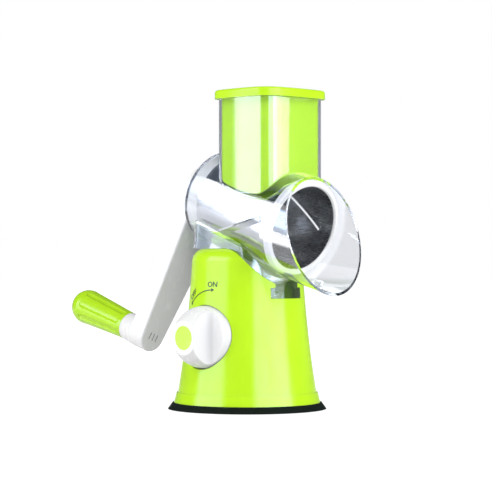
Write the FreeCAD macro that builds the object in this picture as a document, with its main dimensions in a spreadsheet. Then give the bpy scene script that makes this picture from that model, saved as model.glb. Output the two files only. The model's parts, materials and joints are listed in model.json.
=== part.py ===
"""Hand-cranked rotary cabbage shredder on a suction base, in millimetres.

Row frame: +Z up, origin on the table at the centre of the suction cup.  The
drum's mouth faces -Y, the crank is at +Y and the suction knob at -X.
"""
import FreeCAD, Part
import math
import os
import re
from collections import namedtuple

import Sketcher
from FreeCAD import Vector

os.makedirs("parts", exist_ok=True)
doc = FreeCAD.newDocument("RotaryShredder")

# --------------------------------------------------------------------------
# Driving dimensions
# --------------------------------------------------------------------------
SIZES = [
    # alias, number, meaning
    ("tilt", 16, "slope of the drum axis down towards the mouth, degrees"),
    ("axis_height", 171.5, "drum axis above the centre of the foot"),
    ("running_gap", 0.05, "radial clearance of a turning or sliding fit"),
    ("body_gap", 0.3, "clearance between mouldings that seat on each other"),
    # suction cup
    ("cup_radius", 67.5, "rubber cup at the table"),
    ("cup_height", 5.5, "top of the rubber rim"),
    ("cup_slope", 4.0, "how far the rim leans in at its top"),
    ("cup_sole", 9.5, "width of the flat sole of the rim"),
    ("cup_hollow", 3.0, "height of the hollow at the middle"),
    ("bead_radius", 53, "outside of the rubber bead held by the clamp ring"),
    ("bead_width", 3, "width of that bead"),
    ("bead_height", 3.5, "height of that bead"),
    # clamp ring
    ("foot_radius", 62.3, "clamp ring at the rubber"),
    ("foot_top_radius", 60.2, "clamp ring at its top"),
    ("foot_top", 14, "parting line between clamp ring and base"),
    ("ring_flange", 3, "thickness of the screwed flange"),
    ("flange_bore_radius", 44, "bore of the screwed flange"),
    # base moulding
    ("base_radius", 59.0, "base at the parting line"),
    ("base_top_radius", 46.5, "base at the shoulder"),
    ("base_top", 136, "height of the shoulder"),
    ("flank_bow", 1050, "radius of the hollow flank"),
    ("base_wall", 2.4, "wall of the base"),
    ("shoulder_round", 11, "rounding of the shoulder"),
    ("saddle_radius", 45.2, "saddle under the drum, at the base axis"),
    ("saddle_flare", 0.1, "growth of that radius towards the mouth"),
    ("screw_circle", 49, "radius of the circle of clamp screws"),
    ("screw_count", 3, "clamp screws"),
    ("screw_radius", 1.6, "clamp screw shank"),
    ("screw_head_radius", 3.1, "clamp screw head"),
    ("screw_head", 1.5, "thickness of the head"),
    ("screw_bite", 10, "length in the boss"),
    ("boss_radius", 4.2, "boss round a clamp screw"),
    # lock mechanism
    ("knob_height", 62, "height of the lock shaft"),
    ("knob_plane", 44.3, "back of the knob, from the base axis"),
    ("knob_radius", 26.3, "skirt of the knob"),
    ("knob_skirt", 3.5, "straight part of the skirt"),
    ("knob_depth", 30.2, "back to front of the knob"),
    ("knob_nose_radius", 14.2, "flat front of the knob"),
    ("knob_dome", 33, "radius of the dome between skirt and front"),
    ("knob_grip", 11.5, "half the width of the finger bar"),
    ("knob_scoop", 10, "depth at which the finger scoops start"),
    ("scoop_round", 7, "rounding at the bottom of the scoops"),
    ("well_gap", 0.7, "gap round the knob in its well"),
    ("cap_radius", 10, "coloured disc in the knob"),
    ("cap_thick", 1.8, "thickness of that disc"),
    ("shaft_radius", 4, "lock shaft"),
    ("shaft_flat", 2.8, "drive flat of the lock shaft, from its axis"),
    ("flat_start", 2, "start of that flat, in front of the knob's back"),
    ("knob_screw_bite", 9, "length of the knob screw in the shaft"),
    ("cam_radius", 8, "cam on the lock shaft"),
    ("cam_throw", 2.5, "offset of the cam, and lift of the stem"),
    ("cam_width", 8, "width of the cam"),
    ("web_gap", 24, "space between the two cross webs"),
    ("web_wall", 3, "thickness of a cross web"),
    ("web_low", 42, "underside of the cross webs"),
    ("web_high", 78, "top of the cross webs"),
    ("stem_radius", 6, "pull stem"),
    ("plate_radius", 28, "plate at the foot of the stem"),
    ("plate_thick", 2.5, "thickness of that plate"),
    ("yoke_wall", 3, "frame round the cam window"),
    ("yoke_thick", 10, "thickness of the yoke"),
    ("cam_slack", 0.8, "play between cam and yoke, up and down"),
    ("spring_radius", 9, "coil radius of the return spring"),
    ("spring_wire", 0.7, "half the width of its wire"),
    ("spring_turns", 5, "turns of the spring"),
    # drum
    ("drum_radius", 36.5, "outside of the steel shell"),
    ("drum_wall", 0.8, "sheet thickness"),
    ("drum_rear", 23, "rear edge of the steel, behind the base axis"),
    ("drum_front", 68, "front edge of the steel"),
    ("slot_count", 2, "cutting slots"),
    ("slot_skew", 27.5, "slant of the slots, degrees"),
    ("slot_start", -5.2, "rear end of the slots, from the base axis"),
    ("slot_run", 57, "length of the slots along the axis"),
    ("slot_width", 11, "width of the slots along the axis"),
    ("slot_turn", -137.5, "where the first slot starts round the drum, degrees"),
    ("lip_rise", 1.5, "height of the raised cutting lip"),
    ("lip_root", 1.5, "width of the bend that joins the lip to the sheet"),
    ("lip_mouth", 3.2, "opening between the lip's edge and the sheet"),
    ("lip_relief", 0.8, "slit at each end of the lip"),
    ("ring_radius", 41.2, "front ring of the drum"),
    ("ring_back", 63.5, "rear face of the front ring"),
    ("ring_front", 70, "front face of the front ring"),
    ("ring_opening", 35.6, "opening of the front ring"),
    ("ring_bevel", 1.5, "bevels on the outside of the front ring"),
    ("ring_lead", 1, "bevel at its opening"),
    ("hub_rear", 34, "rear edge of the drum hub"),
    ("hub_wall", 2.4, "walls of the drum hub"),
    ("spigot", 7, "length of the hub inside the steel"),
    ("socket_radius", 9, "socket boss of the drum hub"),
    ("socket_front", 12, "front of that boss, behind the base axis"),
    ("window_inner", 13, "inner radius of the windows in the hub disc"),
    ("window_rim", 4, "rim left outside the windows"),
    ("window_narrow", 7.28, "half the width of a window at its inner side"),
    ("window_wide", 18.06, "half the width of a window at its rim"),
    # clear housing
    ("tube_wall", 2.0, "wall of the clear tube"),
    ("tube_rear", 37, "rear face of the tube, behind the base axis"),
    ("ring_gap", 0.6, "gap round the front ring"),
    ("hub_gap", 0.9, "gap round the drum hub"),
    ("mouth_reach", 92.5, "centre of the mouth rim along the drum axis"),
    ("mouth_rake", 14, "how far the mouth looks up, degrees"),
    ("chute_width", 75.6, "chute across the drum"),
    ("chute_depth", 67.4, "chute along the drum"),
    ("chute_corner", 14.6, "corner radius of the chute"),
    ("chute_bow", 200, "radius of the chute's bowed sides"),
    ("chute_forward", 27.2, "centre of the chute in front of the base axis"),
    ("chute_top", 261.2, "rim of the chute"),
    ("chute_wall", 2.0, "wall of the chute"),
    ("neck_half", 36, "half the width of the neck on the base"),
    ("neck_inset", 0.4, "neck inside the line of the base"),
    ("neck_draft", 0.075, "slope of the neck"),
    ("neck_low", 95, "foot of the neck's outline, unless the latch sits lower"),
    ("neck_round", 6, "rounding of the neck's upright edges"),
    ("tube_bevel", 1.2, "bevel round the tube's rear edge"),
    ("latch_half", 17.5, "half the width of the latch bar"),
    ("latch_bar", 8.7, "height of the latch bar"),
    ("latch_stem", 8.1, "length of the latch stem above the bar"),
    ("latch_stem_half", 13, "half the width of the latch stem"),
    ("latch_depth", 2, "how far the latch reaches inside the base's wall"),
    ("latch_room", 4.5, "room behind the latch"),
    ("latch_pocket", 1.6, "wall of the pocket behind the latch"),
    ("stop_reach", 95, "drum stop in the mouth, along the axis"),
    ("stop_half", 4.5, "half the width of the drum stop"),
    ("stop_height", 4.6, "height of the drum stop"),
    ("stop_thick", 3, "thickness of the drum stop"),
    ("bush_radius", 9, "bearing bush"),
    ("bush_front", 28, "front end of the bush, behind the base axis"),
    ("bush_flange_radius", 12.5, "flange of the bush"),
    ("bush_flange", 1.5, "thickness of that flange"),
    # pusher
    ("pusher_gap", 0.4, "gap between pusher and chute"),
    ("pusher_wall", 2.0, "wall of the pusher"),
    ("drum_gap", 4.1, "space between pusher and drum"),
    ("lid_overhang", 3.5, "lid past the chute"),
    ("lid_height", 7.2, "height of the lid"),
    ("lid_round", 2.2, "rounding of the lid's top edge"),
    ("lid_plug", 5, "depth of the lid in the pusher"),
    # crank
    ("journal_radius", 6, "crank shaft in its bush"),
    ("hex_radius", 5.2, "drive hexagon, over its corners"),
    ("crank_angle", 17.8, "arm at rest, from straight down, degrees"),
    ("crank_length", 134.5, "crank axis to grip axis"),
    ("arm_front", 40, "front face of the arm, behind the base axis"),
    ("arm_thick", 16.6, "thickness of the arm"),
    ("arm_hub_radius", 23, "round end of the arm at the shaft"),
    ("arm_tip_radius", 13.3, "round end of the arm at the grip"),
    ("arm_wall", 2.6, "side walls of the arm"),
    ("arm_face", 3.5, "front wall of the arm"),
    ("arm_round", 1.8, "rounding of the arm's front edge"),
    ("arm_boss", 11.5, "boss on the shaft"),
    ("tip_boss", 15.4, "length of the boss behind the arm tip"),
    ("mark_length", 6, "grooves in the arm tip"),
    ("mark_pitch", 4.2, "spacing of those grooves"),
    ("pin_radius", 3.5, "grip pin"),
    ("grip_root_radius", 12, "grip at the arm"),
    ("grip_end_radius", 15.2, "grip at its cap"),
    ("grip_length", 57.5, "grip without its cap"),
    ("grip_dome", 14.5, "length of the domed cap"),
    ("flute_count", 8, "flutes of the grip"),
    ("flute_radius", 4.6, "radius of a flute"),
    ("flute_depth", 1.1, "depth of a flute"),
    ("flute_margin", 6, "from each end of the grip to the middle of a flute's round end"),
]

sheet = doc.addObject("Spreadsheet::Sheet", "Sizes")
for row, (alias, number, meaning) in enumerate(SIZES, start=1):
    sheet.set("A%d" % row, meaning)
    sheet.set("B%d" % row, str(number))
    sheet.setAlias("B%d" % row, alias)
doc.recompute()

# Sizes worked out from the sheet, as texts that go into expressions
TUBE_BORE = "(ring_radius + ring_gap)"
TUBE_REAR_BORE = "(drum_radius + hub_gap)"
REAR_WALL = "(tube_rear - chute_wall - 0.4)"
LIP_BASE = "(drum_radius - drum_wall)"
PITCH = "(2 * pi * drum_radius / tan(slot_skew))"
PLATE_LOW = "(cup_height + body_gap)"
PLATE_TOP = "(cup_height + body_gap + plate_thick)"
WINDOW_HALF = "(cam_radius + cam_throw + body_gap)"
WINDOW_RISE = "(cam_radius + cam_slack)"
FLOOR_TOP = "(web_low + web_wall)"
LID_LOW = "(chute_top + body_gap)"
LATCH_TOP = "(axis_height - tan(tilt) * base_top_radius - saddle_radius / cos(tilt))"
LATCH_HIGH = "(%s - latch_stem)" % LATCH_TOP
LATCH_LOW = "(%s - latch_bar)" % LATCH_HIGH
NECK_FOOT = "min(neck_low; %s)" % LATCH_HIGH
ARM_BACK = "(arm_front + arm_thick)"
GRIP_START = "(arm_front + arm_thick + tip_boss + body_gap)"
GRIP_END = "(arm_front + arm_thick + tip_boss + body_gap + grip_length)"
SLANT = "((arm_hub_radius - arm_tip_radius) / crank_length)"
LEVEL = "sqrt(1 - ((arm_hub_radius - arm_tip_radius) / crank_length)^2)"
FAR = "200"
# The chute's section: sides bowed about BOW_X and BOW_Y, corners about CORNER_X, CORNER_Y
BOW_X, BOW_Y = "(chute_bow - chute_width / 2)", "(chute_bow - chute_depth / 2)"
BOW_SPAN = "sqrt(%s^2 + %s^2)" % (BOW_X, BOW_Y)
BOW_RISE = "(sqrt(((chute_bow - chute_corner) / %s)^2 - 0.25))" % BOW_SPAN
CORNER_X = "(%s * %s - %s / 2)" % (BOW_Y, BOW_RISE, BOW_X)
CORNER_Y = "(%s * %s - %s / 2)" % (BOW_X, BOW_RISE, BOW_Y)

# Frames.  The drum frame has z along the axis towards the mouth and y up; the
# crank frame turns it so that x runs down the arm; in the knob frame z points
# out of the knob and x up.
WORLD = "placement(vector(0; 0; 0); rotation(vector(0; 0; 1); 0))"
DRUM = "placement(vector(0; 0; axis_height); rotation(vector(1; 0; 0); tilt + 90))"
CRANK = DRUM + " * rotation(vector(0; 0; 1); -90 - crank_angle)"
KNOB = "placement(vector(-knob_plane; 0; knob_height); rotation(vector(0; 1; 0); -90))"

NAMES = re.compile(r"\b(%s)\b" % "|".join(alias for alias, _, _ in SIZES))
Loop = namedtuple("Loop", "corners bows")
Disc = namedtuple("Disc", "x y radius")


# --------------------------------------------------------------------------
# Helpers
# --------------------------------------------------------------------------
def bind(text):
    """Point the names in an expression at the sheet."""
    return NAMES.sub(r"Sizes.\1", text)


def value(text):
    """The number that an expression gives now."""
    answer = sheet.evalExpression(bind(text))
    return float(getattr(answer, "Value", answer))


def tie(item, **links):
    for name, text in links.items():
        item.setExpression(name, bind(text))
    return item


def shifted(frame, x="0", y="0", z="0"):
    return "%s * placement(vector(%s; %s; %s); rotation(vector(0; 0; 1); 0))" % (frame, x, y, z)


def turned(frame, axis, angle):
    return "%s * rotation(vector(%s); %s)" % (frame, axis, angle)


def solid(kind, name, frame=WORLD, **links):
    """A Part primitive with its sizes and place tied to the sheet."""
    item = doc.addObject("Part::" + kind, name)
    return tie(item, Placement=frame, **links)


def rod(name, radius, low, high, frame=WORLD):
    """A cylinder along z of the frame, from low to high."""
    return solid("Cylinder", name, shifted(frame, z=low), Radius=radius,
                 Height="(%s) - (%s)" % (high, low))


def block(name, x, y, z, frame=WORLD):
    """A box between two limits on each axis of the frame."""
    return solid("Box", name, shifted(frame, x[0], y[0], z[0]),
                 Length="(%s) - (%s)" % (x[1], x[0]),
                 Width="(%s) - (%s)" % (y[1], y[0]),
                 Height="(%s) - (%s)" % (z[1], z[0]))


def fuse(name, *items):
    union = doc.addObject("Part::MultiFuse", name)
    union.Shapes = list(items)
    union.Refine = True
    return union


def common(name, *items):
    shared = doc.addObject("Part::MultiCommon", name)
    shared.Shapes = list(items)
    return shared


def cut(name, base, *tools):
    difference = doc.addObject("Part::Cut", name)
    difference.Base = base
    difference.Tool = tools[0] if len(tools) == 1 else fuse(name + "_tools", *tools)
    difference.Refine = True
    return difference


def fillet(name, base, radius, chosen):
    """Round the edges of an object that a test picks."""
    doc.recompute()
    rounded = doc.addObject("Part::Fillet", name)
    rounded.Base = base
    size = value(radius)
    rounded.Edges = [(i + 1, size, size) for i, edge in enumerate(base.Shape.Edges) if chosen(edge)]
    return rounded


def body(name, frame=WORLD):
    return tie(doc.addObject("PartDesign::Body", name), Placement=frame)


def origin_part(item, role):
    return next(feature for feature in item.Origin.OriginFeatures if feature.Role == role)


def fix_point(sketch, geometry, vertex, x, y):
    """Tie one sketch point to the sheet by its two coordinates."""
    for kind, text in (("DistanceX", x), ("DistanceY", y)):
        index = sketch.addConstraint(
            Sketcher.Constraint(kind, -1, 1, geometry, vertex, value(text)))
        sketch.setExpression("Constraints[%d]" % index, bind(text))


def fix_radius(sketch, geometry, text):
    index = sketch.addConstraint(Sketcher.Constraint("Radius", geometry, value(text)))
    sketch.setExpression("Constraints[%d]" % index, bind(text))


def bowed_edge(start, stop, radius, side):
    """Arc from start to stop, bulging to the right (+1) or left (-1) of the way."""
    chord = stop - start
    across = Vector(chord.y, -chord.x, 0).normalize()
    reach = math.sqrt(max(radius ** 2 - (chord.Length / 2) ** 2, 0))
    centre = (start + stop) / 2 - across * reach * side
    angles = [math.atan2(p.y - centre.y, p.x - centre.x) for p in (start, stop)]
    first, last = angles if side > 0 else angles[::-1]
    while last < first:
        last += 2 * math.pi
    return Part.ArcOfCircle(Part.Circle(centre, Vector(0, 0, 1), radius), first, last)


def draw_loop(sketch, loop):
    """Closed outline; edge i runs from corner i to the next one."""
    points = [Vector(value(x), value(y), 0) for x, y in loop.corners]
    ends = []
    for i, start in enumerate(points):
        stop = points[(i + 1) % len(points)]
        if i in loop.bows:
            radius, side = loop.bows[i]
            edge = sketch.addGeometry(bowed_edge(start, stop, value(radius), side))
            ends.append((edge, 1, 2) if side > 0 else (edge, 2, 1))
        else:
            edge = sketch.addGeometry(Part.LineSegment(start, stop))
            ends.append((edge, 1, 2))
    for i, (edge, _, last) in enumerate(ends):
        following, first, _ = ends[(i + 1) % len(ends)]
        sketch.addConstraint(Sketcher.Constraint("Coincident", edge, last, following, first))
    for i, (x, y) in enumerate(loop.corners):
        fix_point(sketch, ends[i][0], ends[i][1], x, y)
        if i in loop.bows:
            fix_radius(sketch, ends[i][0], loop.bows[i][0])


def draw_disc(sketch, disc):
    centre = Vector(value(disc.x), value(disc.y), 0)
    edge = sketch.addGeometry(Part.Circle(centre, Vector(0, 0, 1), value(disc.radius)))
    fix_point(sketch, edge, 3, disc.x, disc.y)
    fix_radius(sketch, edge, disc.radius)


def sketch_on(item, name, plane, shapes, height="0"):
    sketch = item.newObject("Sketcher::SketchObject", name)
    sketch.AttachmentSupport = [(origin_part(item, plane), "")]
    sketch.MapMode = "FlatFace"
    sketch.setExpression("AttachmentOffset.Base.z", bind(height))
    for shape in shapes:
        if isinstance(shape, Loop):
            draw_loop(sketch, shape)
        else:
            draw_disc(sketch, shape)
    return sketch


def outline(*corners, bows=None):
    return Loop(corners, bows or {})


def rounded_rectangle(half_x, half_y, radius, y="0", x="0"):
    """Rectangle with rounded corners about (x, y), drawn anticlockwise."""
    left, right = "(%s) - (%s)" % (x, half_x), "(%s) + (%s)" % (x, half_x)
    low, high = "(%s) - (%s)" % (y, half_y), "(%s) + (%s)" % (y, half_y)
    inner = [text + sign + "(%s)" % radius
             for text, sign in ((left, " + "), (right, " - "), (low, " + "), (high, " - "))]
    corners = ((inner[0], low), (inner[1], low), (right, inner[2]), (right, inner[3]),
               (inner[1], high), (inner[0], high), (left, inner[3]), (left, inner[2]))
    return Loop(corners, {i: (radius, 1) for i in (1, 3, 5, 7)})


def revolve(item, name, loop, cutting=False):
    """Turn an (r, z) outline about the body's z axis."""
    profile = sketch_on(item, name + "_profile", "XZ_Plane", [loop])
    kind = "Groove" if cutting else "Revolution"
    feature = item.newObject("PartDesign::" + kind, name)
    feature.Profile = profile
    feature.ReferenceAxis = (profile, ["V_Axis"])
    feature.Angle = 360
    return feature


def extrude(item, name, shapes, length, plane="XY_Plane", height="0", cutting=False, back=False):
    """Pad or pocket from a height above the plane; a pocket goes the way of a pad."""
    profile = sketch_on(item, name + "_profile", plane, shapes, height)
    feature = item.newObject("PartDesign::" + ("Pocket" if cutting else "Pad"), name)
    feature.Profile = profile
    feature.setExpression("Length", bind(length))
    feature.Reversed = cutting != back
    return feature


def round_edges(item, name, height, radius):
    """Fillet the edges of the body's last feature that lie at one height."""
    doc.recompute()
    last = item.Tip
    edges = ["Edge%d" % (i + 1) for i, edge in enumerate(last.Shape.Edges)
             if abs(edge.BoundBox.ZMin - value(height)) < 0.01
             and abs(edge.BoundBox.ZMax - value(height)) < 0.01]
    rounded = item.newObject("PartDesign::Fillet", name)
    rounded.Base = (last, edges)
    rounded.setExpression("Radius", bind(radius))
    item.Tip = rounded


def polar(item, name, features, count):
    pattern = item.newObject("PartDesign::PolarPattern", name)
    pattern.Originals = features
    pattern.Axis = (origin_part(item, "Z_Axis"), [""])
    pattern.Angle = 360
    pattern.setExpression("Occurrences", bind(count))
    item.Tip = pattern
    return pattern


def ring_copies(name, make, count, frame=WORLD):
    """Copies of a solid spread evenly round z; make gets a name and a frame."""
    return [make("%s_%d" % (name, i + 1), turned(frame, "0; 0; 1", "%d * 360 / %s" % (i, count)))
            for i in range(round(value(count)))]


# --------------------------------------------------------------------------
# Suction cup, clamp ring and base
# --------------------------------------------------------------------------
def make_suction_cup():
    """Rubber cup: flat sole, sloping rim, and a bead for the clamp ring."""
    cup = body("suction_cup")
    revolve(cup, "cup", outline(
        ("0", "cup_hollow"),
        ("cup_radius - cup_sole", "0"),
        ("cup_radius", "0"),
        ("cup_radius - cup_slope", "cup_height"),
        ("bead_radius", "cup_height"),
        ("bead_radius", "cup_height + bead_height"),
        ("bead_radius - bead_width", "cup_height + bead_height"),
        ("bead_radius - bead_width", "cup_height"),
        ("0", "cup_height")))
    return cup


def make_base_ring():
    """Clamp ring that presses the rubber against the base."""
    ring = body("base_ring")
    revolve(ring, "ring", outline(
        ("bead_radius + body_gap", "cup_height"),
        ("foot_radius", "cup_height"),
        ("foot_top_radius", "foot_top"),
        ("flange_bore_radius", "foot_top"),
        ("flange_bore_radius", "foot_top - ring_flange"),
        ("bead_radius + body_gap", "foot_top - ring_flange")))
    hole = extrude(ring, "screw_hole", [Disc("screw_circle", "0", "screw_radius + running_gap")],
                   "ring_flange", height="foot_top - ring_flange", cutting=True)
    polar(ring, "screw_holes", [hole], "screw_count")
    return ring


def screw_at(name, frame):
    spot = shifted(frame, x="screw_circle")
    under = "(foot_top - ring_flange)"
    head = rod(name + "_head", "screw_head_radius", under + " - screw_head", under, spot)
    shank = rod(name + "_shank", "screw_radius", under, "foot_top + screw_bite", spot)
    return fuse(name, head, shank)


def make_ring_screws():
    screws = ring_copies("ring_screw", screw_at, "screw_count")
    group = doc.addObject("Part::Compound", "ring_screws")
    group.Links = screws
    return group


def base_form(name, inset):
    """Solid of the base's outline, shrunk by an inset all over.

    The hollow flank is an arc through the foot and the sharp shoulder; the
    shoulder's round touches that arc and the flat top.
    """
    form = body(name)
    lean, rise = "(base_radius - base_top_radius)", "(base_top - foot_top - %s)" % inset
    flank, round_off = "(flank_bow + %s)" % inset, "(shoulder_round - %s)" % inset
    reach = "sqrt(%s^2 / (%s^2 + %s^2) - 0.25)" % (flank, lean, rise)
    flank_x = "((base_radius + base_top_radius) / 2 - %s + %s * %s)" % (inset, rise, reach)
    flank_z = "((base_top + foot_top - %s) / 2 + %s * %s)" % (inset, lean, reach)
    round_z = "(base_top - shoulder_round)"
    drop = "(%s - %s)" % (flank_z, round_z)
    round_x = "(%s - sqrt((%s + %s)^2 - %s^2))" % (flank_x, flank, round_off, drop)
    share = "(%s / (%s + %s))" % (flank, flank, round_off)
    revolve(form, name + "_turned", outline(
        ("0", "foot_top"),
        ("base_radius - %s" % inset, "foot_top"),
        ("%s + (%s - %s) * %s" % (flank_x, round_x, flank_x, share),
         "%s - %s * %s" % (flank_z, drop, share)),
        (round_x, "base_top - %s" % inset),
        ("0", "base_top - %s" % inset), bows={1: (flank, -1), 2: (round_off, 1)}))
    return form


def saddle_cone(name, change):
    """Cone about the drum axis that hollows the base's top."""
    return solid("Cone", name, shifted(DRUM, z="-" + FAR), Height="2 * " + FAR,
                 Radius1="saddle_radius + (%s) - saddle_flare * %s" % (change, FAR),
                 Radius2="saddle_radius + (%s) + saddle_flare * %s" % (change, FAR))


def latch_shape(name, gap, room="0"):
    """Upright T: a bar below a narrower stem, through the front wall and its room."""
    depth = ("-base_radius", "-(base_top_radius - base_wall - latch_depth) + %s" % room)
    bar = block(name + "_bar", ("-(latch_half + %s)" % gap, "latch_half + %s" % gap), depth,
                ("%s - %s" % (LATCH_LOW, gap), "%s + %s" % (LATCH_HIGH, gap)))
    stem = block(name + "_stem",
                 ("-(latch_stem_half + %s)" % gap, "latch_stem_half + %s" % gap), depth,
                 (LATCH_LOW, "%s + 4 * (%s)" % (LATCH_TOP, gap)))
    return fuse(name, bar, stem)


def make_base_housing(form, hollow):
    """Tapered base: saddle top, knob well, cross webs, screw bosses, latch slot."""
    outer = cut("base_outer", form, saddle_cone("saddle", "0"))
    inner = cut("base_inner", hollow, saddle_cone("saddle_under", "base_wall"))
    skin = cut("base_skin", outer, inner)

    well = KNOB
    floor = "(-body_gap)"
    well_cup = common("knob_well", form, rod(
        "knob_well_rod", "knob_radius + well_gap + base_wall", floor + " - base_wall", FAR, well))
    shaft_boss = rod("shaft_boss", "shaft_radius * 2", floor + " - base_wall - 6", floor, well)
    half = "(web_gap / 2)"
    across = ("-foot_radius", "foot_radius")
    webs = [block("web_left", ("-(%s + web_wall)" % half, "-" + half), across,
                  ("web_low", "web_high")),
            block("web_right", (half, half + " + web_wall"), across, ("web_low", "web_high")),
            block("web_floor", ("-" + half, half), ("-web_gap", "web_gap"),
                  ("web_low", FLOOR_TOP))]
    web_box = common("webs", form, fuse("web_blocks", *webs))

    def boss_at(name, frame):
        post = rod(name + "_post", "boss_radius", "foot_top", "foot_top + screw_bite + 4",
                   shifted(frame, x="screw_circle"))
        rib = block(name + "_rib", ("screw_circle", "base_radius"),
                    ("-base_wall / 2", "base_wall / 2"),
                    ("foot_top", "foot_top + screw_bite + 4"), frame)
        return fuse(name, post, rib)

    bosses = common("bosses", form, fuse("boss_set", *ring_copies("boss", boss_at, "screw_count")))
    pocket = common("latch_pocket", outer, latch_shape(
        "pocket_block", "(body_gap + latch_pocket)", "(latch_room + latch_pocket)"))
    filled = fuse("base_filled", skin, well_cup, shaft_boss, web_box, bosses, pocket)

    pilots = ring_copies("pilot", lambda name, frame: rod(
        name, "screw_radius + running_gap", "foot_top", "foot_top + screw_bite + 0.5",
        shifted(frame, x="screw_circle")), "screw_count")
    housing = cut(
        "base_housing", filled,
        rod("knob_room", "knob_radius + well_gap", floor, FAR, well),
        rod("shaft_bore", "shaft_radius + running_gap", "-knob_plane - web_gap", "1", well),
        rod("stem_bore", "stem_radius + running_gap", "web_low - 1", FLOOR_TOP + " + 1"),
        latch_shape("latch_slot", "body_gap", "latch_room"), *pilots)
    return housing


# --------------------------------------------------------------------------
# Lock mechanism
# --------------------------------------------------------------------------
def make_suction_stem():
    """Plate on the rubber, round stem, and a yoke whose window holds the cam."""
    stem = body("suction_stem")
    revolve(stem, "stem", outline(
        ("0", PLATE_LOW),
        ("plate_radius", PLATE_LOW),
        ("plate_radius", PLATE_TOP),
        ("stem_radius", PLATE_TOP),
        ("stem_radius", "knob_height - %s" % WINDOW_RISE),
        ("0", "knob_height - %s" % WINDOW_RISE)))
    frame = rounded_rectangle("%s + yoke_wall" % WINDOW_HALF, "%s + yoke_wall" % WINDOW_RISE,
                              "yoke_wall", y="knob_height")
    window = rounded_rectangle(WINDOW_HALF, WINDOW_RISE, "1", y="knob_height")
    extrude(stem, "yoke", [frame, window], "yoke_thick", plane="YZ_Plane",
            height="-yoke_thick / 2")
    return stem


def make_stem_spring():
    """Compression spring of square wire between the plate and the web floor."""
    spring = body("stem_spring")
    low, high = PLATE_TOP + " + body_gap", "web_low - body_gap - 2 * spring_wire"
    inner, outer = "spring_radius - spring_wire", "spring_radius + spring_wire"
    section = sketch_on(spring, "wire_section", "XZ_Plane", [outline(
        (inner, low), (outer, low), (outer, low + " + 2 * spring_wire"),
        (inner, low + " + 2 * spring_wire"))])
    coil = spring.newObject("PartDesign::AdditiveHelix", "coil")
    coil.Profile = section
    coil.ReferenceAxis = (section, ["V_Axis"])
    coil.Mode = "height-turns-angle"
    coil.setExpression("Height", bind("(%s) - (%s)" % (high, low)))
    coil.setExpression("Turns", bind("spring_turns"))
    return spring


def make_lock_shaft():
    """Shaft along x with an eccentric cam, a flat for the knob and a clip groove."""
    far_end = "(-knob_plane - web_gap / 2 - web_wall - 3)"
    near_end = "(knob_depth - cap_thick - 6)"
    round_bar = rod("shaft_bar", "shaft_radius", far_end, near_end, KNOB)
    cam = rod("shaft_cam", "cam_radius", "-knob_plane - cam_width / 2",
              "-knob_plane + cam_width / 2", shifted(KNOB, y="cam_throw"))
    flat = block("flat_cut", ("shaft_flat", "shaft_radius + 1"),
                 ("-shaft_radius", "shaft_radius"), ("flat_start", FAR), KNOB)
    groove = cut("clip_groove", rod("groove_outer", "shaft_radius + 1", far_end + " + 1",
                                    far_end + " + 2", KNOB),
                 rod("groove_core", "shaft_radius - 0.8", far_end, far_end + " + 3", KNOB))
    thread = rod("shaft_thread", "screw_radius", near_end + " - knob_screw_bite",
                 near_end + " + 1", KNOB)
    return cut("lock_shaft", fuse("shaft_and_cam", round_bar, cam), flat, groove, thread)


def clip(name, frame, low, high, bore, outside):
    """Open retaining ring."""
    ring = cut(name + "_ring", rod(name + "_disc", outside, low, high, frame),
               rod(name + "_bore", bore, low + " - 1", high + " + 1", frame))
    gap = block(name + "_gap", ("0", outside + " + 1"), ("-(%s) * 0.5" % bore, "(%s) * 0.5" % bore),
                (low + " - 1", high + " + 1"), frame)
    return cut(name, ring, gap)


def make_lock_knob():
    """Domed knob with a finger bar between two scoops, cored from the back."""
    knob = body("lock_knob", KNOB)
    revolve(knob, "dome", outline(
        ("0", "0"), ("knob_radius", "0"), ("knob_radius", "knob_skirt"),
        ("knob_nose_radius", "knob_depth"), ("0", "knob_depth"),
        bows={2: ("knob_dome", 1)}))
    for side, name in (("", "scoop_right"), ("-", "scoop_left")):
        near, far = side + "(knob_grip)", side + "(knob_radius + 5)"
        round_end = side + "(knob_grip + scoop_round)"
        turn = 1 if side else -1
        extrude(knob, name, [outline(
            (near, "knob_scoop + scoop_round"), (round_end, "knob_scoop"),
            (far, "knob_scoop"), (far, "knob_depth + 5"), (near, "knob_depth + 5"),
            bows={0: ("scoop_round", -turn)})],
            "4 * knob_radius", plane="YZ_Plane", height="-2 * knob_radius", cutting=True)
    revolve(knob, "coring", outline(
        ("shaft_radius * 2.2", "-1"), ("knob_radius - 3", "-1"),
        ("knob_radius - 3", "knob_skirt"), ("shaft_radius * 2.2", "knob_skirt + 2")),
        cutting=True)
    revolve(knob, "cap_seat", outline(
        ("0", "knob_depth - cap_thick"), ("cap_radius + running_gap", "knob_depth - cap_thick"),
        ("cap_radius + running_gap", "knob_depth + 1"), ("0", "knob_depth + 1")), cutting=True)
    revolve(knob, "head_seat", outline(
        ("0", "knob_depth - cap_thick - 4"),
        ("screw_head_radius + 0.4", "knob_depth - cap_thick - 4"),
        ("screw_head_radius + 0.4", "knob_depth"), ("0", "knob_depth")), cutting=True)
    doc.recompute()
    fit = "shaft_radius + running_gap"
    bore = rod("knob_bore_rod", fit, "-1", "knob_depth - cap_thick - 6 + body_gap", KNOB)
    flat = block("knob_bore_flat", ("shaft_flat + running_gap", "shaft_radius + 2"),
                 ("-shaft_radius - 1", "shaft_radius + 1"), ("flat_start", "knob_depth"), KNOB)
    shank = rod("knob_screw_way", "screw_radius + running_gap", "0", "knob_depth", KNOB)
    return cut("lock_knob_bored", knob, cut("knob_bore", bore, flat), shank)


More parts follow.
